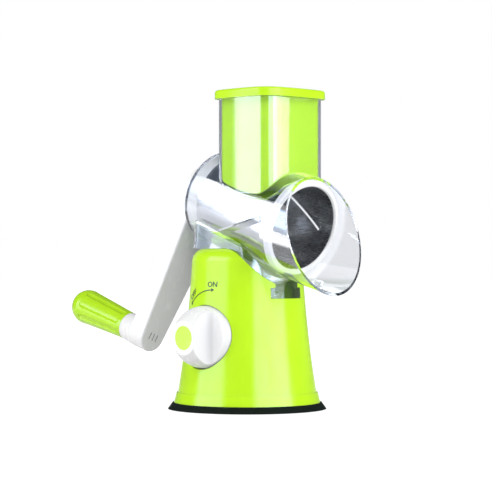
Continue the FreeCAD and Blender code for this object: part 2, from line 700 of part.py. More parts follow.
def make_knob_screw():
    top = "(knob_depth - cap_thick - 4)"
    head = rod("knob_screw_head", "screw_head_radius", top, top + " + screw_head + 0.6", KNOB)
    shank = rod("knob_screw_shank", "screw_radius - running_gap", top + " - knob_screw_bite",
                top, KNOB)
    return fuse("knob_screw", head, shank)


# --------------------------------------------------------------------------
# Drum
# --------------------------------------------------------------------------
def drum_strip(name, section, trim, frame):
    """A section swept along the slant of the slots, with its ends cut square."""
    strip = body(name + "_strip", turned(frame, "0; 0; 1", "360 * slot_width / " + PITCH))
    profile = sketch_on(strip, name + "_section", "XZ_Plane", [section])
    sweep = strip.newObject("PartDesign::AdditiveHelix", name + "_sweep")
    sweep.Profile = profile
    sweep.ReferenceAxis = (profile, ["V_Axis"])
    sweep.Mode = "pitch-height-angle"
    sweep.setExpression("Pitch", bind(PITCH))
    sweep.setExpression("Height", bind("slot_run + 2 * slot_width"))
    sweep.LeftHanded = True
    middle = shifted(turned(frame, "0; 0; 1", "-180 * slot_run / " + PITCH),
                     z="slot_start + slot_run / 2")
    reach = "(slot_run / (2 * cos(slot_skew)) + drum_radius * tan(slot_skew) / 8 - %s)" % trim
    span = block(name + "_span", ("0", "2 * drum_radius"), ("-drum_radius", "drum_radius"),
                 ("-" + reach, reach), turned(middle, "1; 0; 0", "slot_skew"))
    return common(name, strip, span)


def make_drum_shell():
    """Sheet drum with slanted slots, each under a raised cutting lip."""
    tube = body("sheet_tube", DRUM)
    revolve(tube, "sheet", outline(
        (LIP_BASE, "-drum_rear"), ("drum_radius", "-drum_rear"),
        ("drum_radius", "drum_front"), (LIP_BASE, "drum_front")))
    rear, front = "(slot_start - 1.5 * slot_width)", "(slot_start - 0.5 * slot_width)"
    edge = rear + " + lip_mouth"
    slot = outline((LIP_BASE + " - 1", rear), ("drum_radius + 1", rear),
                   ("drum_radius + 1", front), (LIP_BASE + " - 1", front))
    lip = outline(("drum_radius + lip_rise - drum_wall", edge), ("drum_radius + lip_rise", edge),
                  ("drum_radius", front + " + lip_root"), (LIP_BASE, front + " + lip_root"))
    start = turned(DRUM, "0; 0; 1", "slot_turn")
    slots = ring_copies("slot", lambda name, frame: drum_strip(name, slot, "0", frame),
                        "slot_count", start)
    lips = ring_copies("lip", lambda name, frame: drum_strip(name, lip, "lip_relief", frame),
                       "slot_count", start)
    return fuse("drum_shell", cut("slotted_tube", tube, *slots), *lips)


def make_drum_front_ring():
    """Moulded ring on the open end of the drum."""
    ring = body("drum_front_ring", DRUM)
    revolve(ring, "front_ring", outline(
        ("drum_radius + running_gap", "ring_back"), ("ring_radius - ring_bevel", "ring_back"),
        ("ring_radius", "ring_back + ring_bevel"), ("ring_radius", "ring_front - ring_bevel"),
        ("ring_radius - ring_bevel", "ring_front"), ("ring_opening + ring_lead", "ring_front"),
        ("ring_opening", "ring_front - ring_lead"), ("ring_opening", "drum_front"),
        ("drum_radius + running_gap", "drum_front")))
    return ring


def make_drum_hub():
    """Rear hub: rim, spigot in the steel, four-armed disc and drive socket."""
    hub = body("drum_hub", DRUM)
    inside = "(drum_radius - drum_wall - running_gap)"
    disc_back, disc_front = "(-drum_rear - hub_wall)", "(-drum_rear)"
    revolve(hub, "hub_turned", outline(
        ("0", disc_back + " - 1"), ("socket_radius", disc_back + " - 1"),
        ("socket_radius", disc_back),
        ("drum_radius - hub_wall", disc_back), ("drum_radius - hub_wall", "-hub_rear"),
        ("drum_radius", "-hub_rear"), ("drum_radius", disc_front), (inside, disc_front),
        (inside, disc_front + " + spigot"), (inside + " - hub_wall", disc_front + " + spigot"),
        (inside + " - hub_wall", disc_front), ("socket_radius", disc_front),
        ("socket_radius", "-socket_front"), ("0", "-socket_front")))
    rim = "(drum_radius - window_rim - hub_wall)"
    corner = "sqrt(%s^2 - window_wide^2)" % rim
    window = extrude(hub, "window", [outline(
        ("window_inner", "-window_narrow"), (corner, "-window_wide"),
        (corner, "window_wide"), ("window_inner", "window_narrow"),
        bows={1: (rim, 1)})], "hub_wall + 2", height=disc_back + " - 1", cutting=True)
    polar(hub, "windows", [window], "4")
    doc.recompute()
    socket = solid("Prism", "socket_hex", shifted(DRUM, z=disc_back + " - 3"), Polygon="6",
                   Circumradius="hex_radius + running_gap", Height="hub_rear + 10")
    return cut("drum_hub_bored", hub, socket)


# --------------------------------------------------------------------------
# Clear housing with chute
# --------------------------------------------------------------------------
def tube_solid(name, wall, rear):
    """Tube about the drum axis: a slight draft up to the ring, then straight."""
    tube = body(name, DRUM)
    rear_radius = "%s + %s" % (TUBE_REAR_BORE, wall)
    revolve(tube, name + "_turned", outline(
        ("0", rear),
        (rear_radius + " - tube_bevel", rear),
        (rear_radius, rear + " + tube_bevel"),
        ("%s + %s" % (TUBE_BORE, wall), "ring_back - 2"),
        ("%s + %s" % (TUBE_BORE, wall), "mouth_reach + 40"),
        ("0", "mouth_reach + 40")))
    return tube


def chute_outline(inset):
    """Section of the chute, shrunk by an inset: four bowed sides, rounded corners."""
    share = "((chute_bow - (%s)) / (chute_bow - chute_corner))" % inset
    side = ("((%s + %s) * %s - %s)" % (CORNER_X, BOW_X, share, BOW_X), "%s * %s" % (CORNER_Y, share))
    end = ("%s * %s" % (CORNER_X, share), "((%s + %s) * %s - %s)" % (CORNER_Y, BOW_Y, share, BOW_Y))
    signs = (("-", "-"), ("", "-"), ("", "-"), ("", ""), ("", ""), ("-", ""), ("-", ""), ("-", "-"))
    spots = (end, end, side, side, end, end, side, side)
    corners = [(sx + x, "-chute_forward + (%s1) * %s" % (sy, y))
               for (sx, sy), (x, y) in zip(signs, spots)]
    bow, corner = "chute_bow - (%s)" % inset, "chute_corner - (%s)" % inset
    return Loop(corners, {i: (corner if i % 2 else bow, 1) for i in range(8)})


def chute_solid(name, inset, low, high):
    chute = body(name)
    extrude(chute, name + "_pad", [chute_outline(inset)], "(%s) - (%s)" % (high, low), height=low)
    return chute


def neck_solid(name, inset):
    """The neck's outline above the base, between its flat cheeks."""
    rise = "(axis_height - %s)" % NECK_FOOT
    radius = "base_top_radius - neck_inset - (%s) + neck_draft * (base_top - %s)" % (inset, NECK_FOOT)
    cone = solid("Cone", name + "_cone", shifted(WORLD, z=NECK_FOOT), Height=rise, Radius1=radius,
                 Radius2=radius + " - neck_draft * " + rise)
    half = "(neck_half - (%s))" % inset
    cheeks = block(name + "_cheeks", ("-" + half, half), ("-foot_radius", "foot_radius"),
                   (NECK_FOOT, "axis_height"))
    sharp = common(name + "_sharp", cone, cheeks)
    return fillet(name, sharp, "neck_round - (%s)" % inset, lambda edge: (
        edge.BoundBox.ZLength > value(rise) / 2 and edge.BoundBox.YLength < value(rise) / 2))


def make_clear_housing(form, hollow):
    """Drum tube, feed chute, neck on the base and T latch, in one clear moulding."""
    neck_wall = cut("neck_wall", neck_solid("neck_outer", "0"), neck_solid("neck_inner", "tube_wall"))
    base_room = cut("base_room", rod("base_room_rod", "foot_radius", "50", "base_top + body_gap"),
                    saddle_cone("saddle_gap", "-body_gap"))
    neck = cut("neck_trimmed", common("neck_in_front", neck_wall, rod(
        "neck_limit", FAR, "-tube_rear", "mouth_reach", DRUM)), base_room)
    wall = cut("latch_wall", form, hollow)
    latch = common("latch", wall, latch_shape("latch_block", "0"))
    outside = fuse("housing_outside", tube_solid("tube_outer", "tube_wall", "-tube_rear"),
                   chute_solid("chute_outer", "0", "axis_height", "chute_top"), neck, latch)
    mouth = rod("mouth_cut", FAR, "0", FAR, turned(shifted(
        DRUM, z="mouth_reach"), "1; 0; 0", "-tilt - mouth_rake"))
    inside = fuse("housing_inside", tube_solid("tube_bore", "0", "-" + REAR_WALL),
                  chute_solid("chute_inner", "chute_wall", "axis_height", "chute_top + 1"), mouth)
    shell = cut("housing_shell", outside, inside)
    bearing = rod("bearing_boss", "bush_flange_radius", "-tube_rear", "-bush_front", DRUM)
    floor = "(-(%s))" % TUBE_BORE
    stop = block("drum_stop", ("-stop_half", "stop_half"), (floor + " - 1", floor + " + stop_height"),
                 ("stop_reach", "stop_reach + stop_thick"), DRUM)
    return cut("clear_housing", fuse("housing_full", shell, bearing, stop),
               rod("bush_hole", "bush_radius", "-tube_rear - 1", "0", DRUM))


def make_bearing_bush():
    bush = body("bearing_bush", DRUM)
    revolve(bush, "bush", outline(
        ("journal_radius + running_gap", "-bush_front"), ("bush_radius", "-bush_front"),
        ("bush_radius", "-tube_rear"), ("bush_flange_radius", "-tube_rear"),
        ("bush_flange_radius", "-tube_rear - bush_flange"),
        ("journal_radius + running_gap", "-tube_rear - bush_flange")))
    return bush


# --------------------------------------------------------------------------
# Pusher
# --------------------------------------------------------------------------
def make_pusher_body():
    """Hollow block that fills the chute, with a saddle over the drum."""
    low = "axis_height - drum_gap - 5"
    skin = "chute_wall + pusher_gap"
    outer = cut("pusher_outer", chute_solid("pusher_block", skin, low, LID_LOW),
                rod("pusher_saddle", "drum_radius + drum_gap", "-" + FAR, FAR, DRUM))
    inner = cut("pusher_inner",
                chute_solid("pusher_room", skin + " + pusher_wall", low, LID_LOW + " + 1"),
                rod("pusher_floor", "drum_radius + drum_gap + pusher_wall", "-" + FAR, FAR, DRUM))
    return cut("pusher_body", outer, inner)


def make_pusher_lid():
    """Overhanging lid with a rounded top edge and a plug in the pusher."""
    lid = chute_solid("pusher_lid", "-lid_overhang", LID_LOW, LID_LOW + " + lid_height")
    round_edges(lid, "lid_rounding", LID_LOW + " + lid_height", "lid_round")
    skin = "(chute_wall + pusher_gap + pusher_wall + running_gap)"
    extrude(lid, "lid_plug", [chute_outline(skin), chute_outline(skin + " + pusher_wall")],
            "lid_plug", height=LID_LOW, back=True)
    return lid


# --------------------------------------------------------------------------
# Crank
# --------------------------------------------------------------------------
def make_crank_shaft():
    """Journal with a hexagon at each end and a groove for its clip."""
    groove_back, groove_front = "-bush_front + 0.4", "-bush_front + 1.4"
    journal = rod("shaft_journal", "journal_radius", "-arm_front", "-drum_rear - hub_wall - 1.3", DRUM)
    front_hex = solid("Prism", "drive_hex", shifted(DRUM, z="-drum_rear - hub_wall - 1.3"),
                      Polygon="6", Circumradius="hex_radius",
                      Height="drum_rear + hub_wall + 1.3 - socket_front - 1")
    rear_hex = solid("Prism", "arm_hex", shifted(DRUM, z="-%s + arm_face" % ARM_BACK), Polygon="6",
                     Circumradius="hex_radius", Height="arm_thick - arm_face")
    groove = cut("drive_groove",
                 rod("drive_groove_disc", "journal_radius + 1", groove_back, groove_front, DRUM),
                 rod("drive_groove_core", "journal_radius - 0.8", "-bush_front", "-drum_rear", DRUM))
    thread = rod("shaft_end_thread", "screw_radius", "-" + ARM_BACK, "-arm_front", DRUM)
    return cut("crank_shaft", fuse("shaft_bars", journal, front_hex, rear_hex), groove, thread)


def arm_outline(inset):
    """Two round ends joined by tangent flanks, shrunk by an inset."""
    hub, tip = "(arm_hub_radius - %s)" % inset, "(arm_tip_radius - %s)" % inset
    hub_x, hub_y = "%s * %s" % (hub, SLANT), "%s * %s" % (hub, LEVEL)
    tip_x, tip_y = "crank_length + %s * %s" % (tip, SLANT), "%s * %s" % (tip, LEVEL)
    return outline(("-" + hub, "0"), (hub_x, "-" + hub_y), (tip_x, "-" + tip_y),
                   ("crank_length + " + tip, "0"), (tip_x, tip_y), (hub_x, hub_y),
                   bows={0: (hub, 1), 2: (tip, 1), 3: (tip, 1), 5: (hub, 1)})


def make_crank_arm():
    """Tapered arm, open channel at the back, with hub boss and grip boss."""
    arm = body("crank_arm", CRANK)
    extrude(arm, "arm_block", [arm_outline("0")], "arm_thick", height="-" + ARM_BACK)
    round_edges(arm, "arm_rounding", "-arm_front", "arm_round")
    extrude(arm, "channel", [arm_outline("arm_wall")], "arm_thick - arm_face",
            height="-" + ARM_BACK, cutting=True)
    extrude(arm, "hub_boss", [Disc("0", "0", "arm_boss")], "arm_thick - 2",
            height="-%s + 2" % ARM_BACK)
    extrude(arm, "tip_filling", [Disc("crank_length", "0", "arm_tip_radius - 1")],
            "arm_thick - 2", height="-" + ARM_BACK)
    doc.recompute()
    grip_boss = solid("Cone", "grip_boss", shifted(CRANK, x="crank_length",
                                                   z="-%s - tip_boss" % ARM_BACK),
                      Radius1="grip_root_radius", Radius2="arm_tip_radius",
                      Height="tip_boss")
    joined = fuse("arm_joined", arm, grip_boss)
    marks = [block("mark_%d" % (i + 2),
                   ("crank_length - mark_length / 2", "crank_length + mark_length / 2"),
                   ("%d * mark_pitch - 0.5" % i, "%d * mark_pitch + 0.5" % i),
                   ("-arm_front - 0.6", "-arm_front + 1"), CRANK) for i in (-1, 0, 1)]
    hexagon = solid("Prism", "arm_hex_hole", shifted(DRUM, z="-%s + arm_face" % ARM_BACK),
                    Polygon="6", Circumradius="hex_radius + running_gap", Height="arm_thick")
    screw_way = rod("arm_screw_way", "screw_radius + running_gap", "-" + FAR, "-arm_front", DRUM)
    pin_hole = rod("pin_hole", "pin_radius", "-" + FAR, "-arm_front - arm_face",
                   shifted(CRANK, x="crank_length"))
    return cut("crank_arm_drilled", joined, hexagon, screw_way, pin_hole, *marks)


def make_crank_screw():
    seat = "(-%s + 2)" % ARM_BACK
    head = rod("crank_screw_head", "screw_head_radius + 1.5", seat + " - screw_head - 0.7", seat, DRUM)
    shank = rod("crank_screw_shank", "screw_radius", seat, seat + " + 12", DRUM)
    return fuse("crank_screw", head, shank)


def make_grip_pin():
    spot = shifted(CRANK, x="crank_length")
    bar = rod("pin_bar", "pin_radius", "-%s - body_gap - 2" % GRIP_END,
              "-arm_front - arm_face", spot)
    head = rod("pin_head", "pin_radius + 2.5", "-%s - body_gap - 3.5" % GRIP_END,
               "-%s - body_gap - 1.5" % GRIP_END, spot)
    return fuse("grip_pin", bar, head)


def make_crank_grip():
    """Tapered turning grip with long flutes."""
    spot = shifted(CRANK, x="crank_length")
    grip = body("crank_grip", spot)
    bore = "(pin_radius + running_gap)"
    revolve(grip, "grip_turned", outline(
        (bore, "-" + GRIP_END), ("grip_end_radius", "-" + GRIP_END),
        ("grip_root_radius", "-" + GRIP_START), (bore, "-" + GRIP_START)))
    doc.recompute()
    lean = "atan((grip_end_radius - grip_root_radius) / grip_length)"

    def flute_at(name, frame):
        line = turned(shifted(frame, x="grip_root_radius + flute_radius - flute_depth",
                              z="-" + GRIP_START), "0; 1; 0", "-" + lean)
        ends = ("-grip_length + flute_margin", "-flute_margin")
        balls = [solid("Sphere", name + mark, shifted(line, z=end), Radius="flute_radius")
                 for mark, end in zip(("_far", "_near"), ends)]
        return fuse(name, rod(name + "_rod", "flute_radius", *ends, line), *balls)

    flutes = ring_copies("flute", flute_at, "flute_count", spot)
    return cut("crank_grip_fluted", grip, *flutes)


def make_grip_cap():
    """Domed end of the grip, hollow over the head of the pin."""
    cap = body("grip_cap", shifted(CRANK, x="crank_length"))
    base = "(-%s)" % GRIP_END
    revolve(cap, "cap_dome", outline(
        ("pin_radius + 3.5", base), ("pin_radius + 3.5", base + " - 5"), ("0", base + " - 5"),
        ("0", base + " - grip_dome"), ("grip_end_radius", base),
        bows={3: ("(grip_end_radius^2 + grip_dome^2) / (2 * grip_dome)", 1)}))
    return cap


# --------------------------------------------------------------------------
# Build, check and write
# --------------------------------------------------------------------------
form = base_form("base_form", "0")
hollow = base_form("base_hollow", "base_wall")
SUBPARTS = {
    "suction_cup": make_suction_cup(),
    "base_ring": make_base_ring(),
    "ring_screws": make_ring_screws(),
    "base_housing": make_base_housing(form, hollow),
    "suction_stem": make_suction_stem(),
    "stem_spring": make_stem_spring(),
    "lock_shaft": make_lock_shaft(),
    "lock_shaft_clip": clip("lock_shaft_clip", KNOB, "(-knob_plane - web_gap / 2 - web_wall - 2)",
                            "(-knob_plane - web_gap / 2 - web_wall - 1)",
                            "shaft_radius - 0.75", "shaft_radius + 2.5"),
    "lock_knob": make_lock_knob(),
    "knob_cap": rod("knob_cap", "cap_radius", "knob_depth - cap_thick", "knob_depth", KNOB),
    "knob_screw": make_knob_screw(),
    "drum_shell": make_drum_shell(),
    "drum_front_ring": make_drum_front_ring(),
    "drum_hub": make_drum_hub(),
    "clear_housing": make_clear_housing(form, hollow),
    "bearing_bush": make_bearing_bush(),
    "pusher_body": make_pusher_body(),
    "pusher_lid": make_pusher_lid(),
    "crank_shaft": make_crank_shaft(),
    "crank_shaft_clip": clip("crank_shaft_clip", DRUM, "(-bush_front + 0.4)", "(-bush_front + 1.4)",
                             "journal_radius - 0.75", "journal_radius + 2.2"),
    "crank_arm": make_crank_arm(),
    "crank_screw": make_crank_screw(),
    "grip_pin": make_grip_pin(),
    "crank_grip": make_crank_grip(),
    "grip_cap": make_grip_cap(),
}
for node, item in SUBPARTS.items():
    if item.Label != node:
        for other in doc.getObjectsByLabel(node):
            other.Label = node + "_form"
        item.Label = node
doc.recompute()

for item in doc.Objects:
    if "Invalid" in item.State or "Error" in item.State:
        raise RuntimeError("%s did not build: %s" % (item.Name, item.State))
for node, item in SUBPARTS.items():
    shape = item.Shape
    if shape.isNull() or not shape.isValid() or not shape.Solids:
        raise RuntimeError("%s has no valid solid" % node)
    shape.exportStep("parts/%s.step" % node)
    print("%-18s solids %d  volume %10.1f mm3" % (node, len(shape.Solids), shape.Volume))
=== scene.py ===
"""Looks of a hand-cranked rotary shredder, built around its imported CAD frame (metres)."""

import json
import math

import bmesh
import bpy
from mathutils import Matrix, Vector


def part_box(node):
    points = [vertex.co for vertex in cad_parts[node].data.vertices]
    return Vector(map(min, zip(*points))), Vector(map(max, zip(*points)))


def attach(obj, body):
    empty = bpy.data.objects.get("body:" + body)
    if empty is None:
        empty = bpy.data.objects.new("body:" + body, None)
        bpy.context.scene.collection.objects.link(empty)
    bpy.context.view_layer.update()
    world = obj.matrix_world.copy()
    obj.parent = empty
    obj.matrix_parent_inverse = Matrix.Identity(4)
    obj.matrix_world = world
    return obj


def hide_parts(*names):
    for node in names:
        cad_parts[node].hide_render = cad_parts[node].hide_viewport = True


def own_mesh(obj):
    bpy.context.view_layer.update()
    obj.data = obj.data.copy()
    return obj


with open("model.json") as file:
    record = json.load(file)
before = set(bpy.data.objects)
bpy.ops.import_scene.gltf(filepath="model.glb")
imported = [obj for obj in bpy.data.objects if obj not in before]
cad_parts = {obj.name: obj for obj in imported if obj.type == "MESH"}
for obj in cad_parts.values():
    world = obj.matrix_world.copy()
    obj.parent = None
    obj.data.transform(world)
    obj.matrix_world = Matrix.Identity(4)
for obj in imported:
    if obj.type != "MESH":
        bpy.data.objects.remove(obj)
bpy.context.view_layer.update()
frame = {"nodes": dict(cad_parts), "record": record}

# --------------------------------------------------------------------------
# Camera: level, 45 degrees round from the mouth towards the knob
# --------------------------------------------------------------------------
CAMERA_AZIMUTH = math.radians(-45)
CAMERA_DISTANCE, CAMERA_HEIGHT = 1.62, 0.128
LENS, SENSOR_WIDTH = 139.0, 36.0
SHIFT = (-0.0024, 0.0244)
CLIP_END = 50.0


def make_camera():
    data = bpy.data.cameras.new("camera")
    data.lens = LENS
    data.sensor_width = SENSOR_WIDTH
    data.shift_x, data.shift_y = SHIFT
    data.clip_end = CLIP_END
    camera = bpy.data.objects.new("camera", data)
    camera.location = (math.sin(CAMERA_AZIMUTH) * CAMERA_DISTANCE,
                       -math.cos(CAMERA_AZIMUTH) * CAMERA_DISTANCE, CAMERA_HEIGHT)
    camera.rotation_euler = (math.radians(90), 0, CAMERA_AZIMUTH)
    bpy.context.scene.collection.objects.link(camera)
    bpy.context.scene.camera = camera


# --------------------------------------------------------------------------
# Shader helpers
# --------------------------------------------------------------------------
def add(tree, kind, inputs=None, **settings):
    """A node with its settings, and its inputs set or linked."""
    node = tree.nodes.new("ShaderNode" + kind)
    for key, setting in settings.items():
        setattr(node, key, setting)
    for key, entry in (inputs or {}).items():
        if isinstance(entry, bpy.types.NodeSocket):
            tree.links.new(entry, node.inputs[key])
        else:
            node.inputs[key].default_value = entry
    return node


def blank(name):
    material = bpy.data.materials.new(name)
    material.use_nodes = True
    material.node_tree.nodes.clear()
    return material, material.node_tree


def calc(tree, operation, first, second, clamp=False):
    """Result of a Math node."""
    return add(tree, "Math", {0: first, 1: second}, operation=operation,
               use_clamp=clamp).outputs[0]


def vector(tree, operation, *entries, result="Vector"):
    """Result of a Vector Math node."""
    return add(tree, "VectorMath", dict(enumerate(entries)), operation=operation).outputs[result]


def noise(tree, scale, detail=2.0, stretch=(1, 1, 1), turn=(0, 0, 0)):
    """Noise over the piece's own coordinates; scale is per metre."""
    place = add(tree, "TexCoord").outputs["Object"]
    mapped = add(tree, "Mapping", {"Vector": place, "Scale": stretch, "Rotation": turn})
    return add(tree, "TexNoise", {"Vector": mapped.outputs[0], "Scale": scale,
                                  "Detail": detail}).outputs["Fac"]


def spread(tree, source, low, high, start=0.3, stop=0.7):
    """The source between start and stop, mapped on low to high."""
    return add(tree, "MapRange", {"Value": source, "From Min": start, "From Max": stop,
                                  "To Min": low, "To Max": high}).outputs["Result"]


def mixed(tree, factor, *colours):
    """Two colours, each a socket or an opaque (red, green, blue), mixed by a factor."""
    first, second = ((*colour, 1) if isinstance(colour, tuple) else colour
                     for colour in colours)
    return add(tree, "Mix", {0: factor, 6: first, 7: second}, data_type="RGBA").outputs[2]


def cloudy(tree, scale, detail, *colours):
    """Two colours mixed by noise."""
    return mixed(tree, spread(tree, noise(tree, scale, detail), 0, 1), *colours)


def edge_mask(tree, radius):
    """1 on the outer edges of a piece, 0 elsewhere."""
    flat = add(tree, "NewGeometry").outputs["Normal"]
    soft = add(tree, "Bevel", {"Radius": radius}, samples=4).outputs[0]
    agreement = vector(tree, "DOT_PRODUCT", flat, soft, result="Value")
    return spread(tree, agreement, 1.0, 0.0, 0.80, 0.98)


def relief(tree, *layers):
    """Bumps on each other, each (height source, distance in metres, strength)."""
    normal = None
    for height, distance, strength in layers:
        inputs = {"Height": height, "Distance": distance, "Strength": strength}
        if normal is not None:
            inputs["Normal"] = normal
        normal = add(tree, "Bump", inputs).outputs[0]
    return normal


def mirrored(tree):
    """1 for what is seen in a reflection, also one seen through a clear wall."""
    path = add(tree, "LightPath").outputs
    seen = calc(tree, "GREATER_THAN", path["Glossy Depth"], 0.5)
    return calc(tree, "SUBTRACT", seen, path["Is Diffuse Ray"], clamp=True)


def finish(tree, shader, volume=None):
    """The material's output; shader and volume are nodes."""
    out = add(tree, "OutputMaterial", {"Surface": shader.outputs[0]})
    if volume is not None:
        tree.links.new(volume.outputs[0], out.inputs["Volume"])


# --------------------------------------------------------------------------
# Materials
# --------------------------------------------------------------------------
WEAR_WIDTH = 0.0005    # rubbed edges of the mouldings
GROOVE_WIDTH = 0.002   # reach of the shade painted into narrow grooves

LATCH_TOP = 0.111      # height up to which the clear moulding is painted darker, as shade from the dark base behind it
LATCH_FRONT = -0.066   # where the mouth begins, in front of the latch
LATCH_BLEND = 0.003
TRAPPED = 4.5          # bounces after which a ray caught in a clear wall is let out
ECHOES = 2.5           # reflections inside a wall after which it is let out

DRUM_TILT = math.radians(16)
DRUM_AXIS_POINT = (0, 0, 0.1715)
DRUM_AXIS = (0, -math.cos(DRUM_TILT), -math.sin(DRUM_TILT))
INSIDE_BLEND = 0.004


def moulded(name, colour, shade, worn, rough=(0.14, 0.24), cast=None, painted_groove_shade=None):
    """Glossy moulded plastic: cloudy tone, faint texture, scuffed edges.

    cast is the colour that it throws on its neighbours, where that isn't its own; the last
    argument is the colour of shade painted into its narrow grooves, darker the more they are
    closed in.
    """
    material, tree = blank(name)
    tone = cloudy(tree, 38, 3, colour, shade)
    patches = spread(tree, noise(tree, 420, 4), 0, 0.55)
    scuff = calc(tree, "MULTIPLY", edge_mask(tree, WEAR_WIDTH), patches)
    tone = mixed(tree, scuff, tone, worn)
    if painted_groove_shade is not None:
        # Painted shade: ambient occlusion darkens the narrow grooves towards the given grey.
        open_air = add(tree, "AmbientOcclusion", {"Distance": GROOVE_WIDTH}, samples=6,
                       only_local=True).outputs["AO"]
        tone = mixed(tree, spread(tree, open_air, 1.0, 0.0, 0.35, 0.75), tone, painted_groove_shade)
    if cast is not None:
        tone = mixed(tree, add(tree, "LightPath").outputs["Is Diffuse Ray"], tone, cast)
    streaks = noise(tree, 240, 3, (1, 1, 0.12))
    sink, grain = noise(tree, 34, 2), noise(tree, 2600, 3)
    finish(tree, add(tree, "BsdfPrincipled", {
        "Base Color": tone, "Roughness": spread(tree, streaks, *rough), "IOR": 1.5,
        "Normal": relief(tree, (sink, 0.0006, 0.10), (grain, 0.00004, 0.12))}))
    return material


def clear_plastic():
    """Clear moulding: lilac-grey body, darker at grazing angles, fine handling marks, its low
    part painted with shade.
    """
    material, tree = blank("clear_plastic")
    marks = spread(tree, noise(tree, 900, 5, (1, 1, 0.2)), 0.0, 1.0, 0.58, 0.8)
    gloss = spread(tree, marks, 0.015, 0.09, 0, 1)
    tint = cloudy(tree, 30, 2, (0.94, 0.955, 0.99), (0.925, 0.945, 0.985))
    grazing = add(tree, "LayerWeight", {"Blend": 0.5}).outputs["Facing"]
    tint = mixed(tree, spread(tree, grazing, 0, 1, 0.55, 0.98), tint, (0.68, 0.71, 0.74))
    # Painted shade: below the latch top the tint is grey in front of the latch and dark green
    # behind it, where the shaded base shows through.
    place = add(tree, "SeparateXYZ", {0: add(tree, "TexCoord").outputs["Object"]}).outputs
    behind = spread(tree, place["Y"], 0, 1, LATCH_FRONT - LATCH_BLEND, LATCH_FRONT)
    low = mixed(tree, behind, (0.74, 0.78, 0.78), (0.22, 0.27, 0.17))
    painted_shade_below = spread(tree, place["Z"], 1, 0, LATCH_TOP - LATCH_BLEND, LATCH_TOP)
    tint = mixed(tree, painted_shade_below, tint, low)
    flow, grain = noise(tree, 26, 2), noise(tree, 1500, 2)
    normal = relief(tree, (flow, 0.0005, 0.10), (grain, 0.00002, 0.06))
    glass = add(tree, "BsdfPrincipled", {
        "Base Color": tint, "Roughness": gloss, "IOR": 1.40, "Normal": normal,
        "Transmission Weight": 1.0, "Coat Weight": 1.0, "Coat IOR": 1.75, "Coat Roughness": 0.02,
        "Coat Normal": normal})
    through = add(tree, "BsdfTransparent", {"Color": (0.90, 0.91, 0.93, 1)})
    path = add(tree, "LightPath").outputs
    straight = path["Is Shadow Ray"]
    for depth, limit in (("Ray Depth", TRAPPED), ("Glossy Depth", ECHOES)):
        straight = calc(tree, "MAXIMUM", straight,
                        calc(tree, "GREATER_THAN", path[depth], limit))
    both = add(tree, "MixShader", {0: straight, 1: glass.outputs[0], 2: through.outputs[0]})
    body = add(tree, "VolumeAbsorption", {"Color": (0.50, 0.56, 0.66, 1), "Density": 10.0})
    finish(tree, both, body)
    return material


def polished_sheet():
    """Stainless sheet: polished outside, rolled and rougher inside, where its tone is also
    painted darker as shade.
    """
    material, tree = blank("polished_sheet")
    polish = noise(tree, 1400, 4, (1, 0.03, 1), (-DRUM_TILT, 0, 0))
    cloud = noise(tree, 60, 3)
    start = vector(tree, "SUBTRACT", add(tree, "TexCoord").outputs["Object"], DRUM_AXIS_POINT)
    outward = vector(tree, "SUBTRACT", start, vector(tree, "PROJECT", start, DRUM_AXIS))
    facing = vector(tree, "DOT_PRODUCT", outward, add(tree, "NewGeometry").outputs["True Normal"],
                    result="Value")
    inside = spread(tree, facing, 1, 0, -INSIDE_BLEND, INSIDE_BLEND)
    tone = mixed(tree, spread(tree, cloud, 0, 1), (0.75, 0.755, 0.765), (0.65, 0.66, 0.68))
    # Painted shade: the inside of the drum gets a darker tone; its extra roughness is the rolled
    # finish.
    tone = mixed(tree, inside, tone, (0.38, 0.38, 0.385))
    gloss = calc(tree, "ADD", spread(tree, polish, 0.05, 0.13), spread(tree, cloud, 0.0, 0.04))
    gloss = calc(tree, "ADD", gloss, spread(tree, inside, 0, 0.16, 0, 1))
    waves = spread(tree, inside, 0.10, 0.02, 0, 1)
    drawn = spread(tree, inside, 0.20, 0.02, 0, 1)
    finish(tree, add(tree, "BsdfPrincipled", {
        "Base Color": tone, "Metallic": 1.0, "Roughness": gloss,
        "Normal": relief(tree, (noise(tree, 45, 2), 0.0004, waves), (polish, 0.000012, drawn))}))
    return material


def machined():
    """Turned steel of the shafts, pins and screws."""
    material, tree = blank("machined_steel")
    rings = noise(tree, 2200, 3)
    finish(tree, add(tree, "BsdfPrincipled", {
        "Base Color": cloudy(tree, 200, 3, (0.58, 0.58, 0.60), (0.42, 0.42, 0.44)),
        "Metallic": 1.0, "Roughness": spread(tree, rings, 0.22, 0.38),
        "Normal": relief(tree, (rings, 0.00002, 0.25))}))
    return material


def soft_rubber():
    """Black rubber: matt, with dust in its grain and paler rubbed edges."""
    material, tree = blank("soft_rubber")
    dust = spread(tree, noise(tree, 500, 5), 0, 0.6, 0.5, 0.85)
    tone = mixed(tree, dust, (0.005, 0.008, 0.005), (0.009, 0.013, 0.009))
    tone = mixed(tree, edge_mask(tree, 0.0007), tone, (0.018, 0.022, 0.018))
    finish(tree, add(tree, "BsdfPrincipled", {
        "Base Color": tone, "Roughness": spread(tree, noise(tree, 700, 3), 0.6, 0.75),
        "Specular IOR Level": 0.12,
        "Normal": relief(tree, (noise(tree, 1800, 4), 0.00008, 0.3))}))
    return material


def printed_ink():
    """Pad-printed black, slightly broken up at its edges."""
    material, tree = blank("printed_ink")
    thin = spread(tree, noise(tree, 1500, 4), 0, 1, 0.35, 0.8)
    finish(tree, add(tree, "BsdfPrincipled", {
        "Base Color": mixed(tree, thin, (0.012, 0.02, 0.008), (0.05, 0.075, 0.015)),
        "Roughness": spread(tree, noise(tree, 900, 2), 0.35, 0.5),
        "Normal": relief(tree, (noise(tree, 2400, 2), 0.00002, 0.2))}))
    return material


LIME_CAST = (0.46, 0.45, 0.46)
GRIP_NODES = ("crank_grip", "grip_cap")


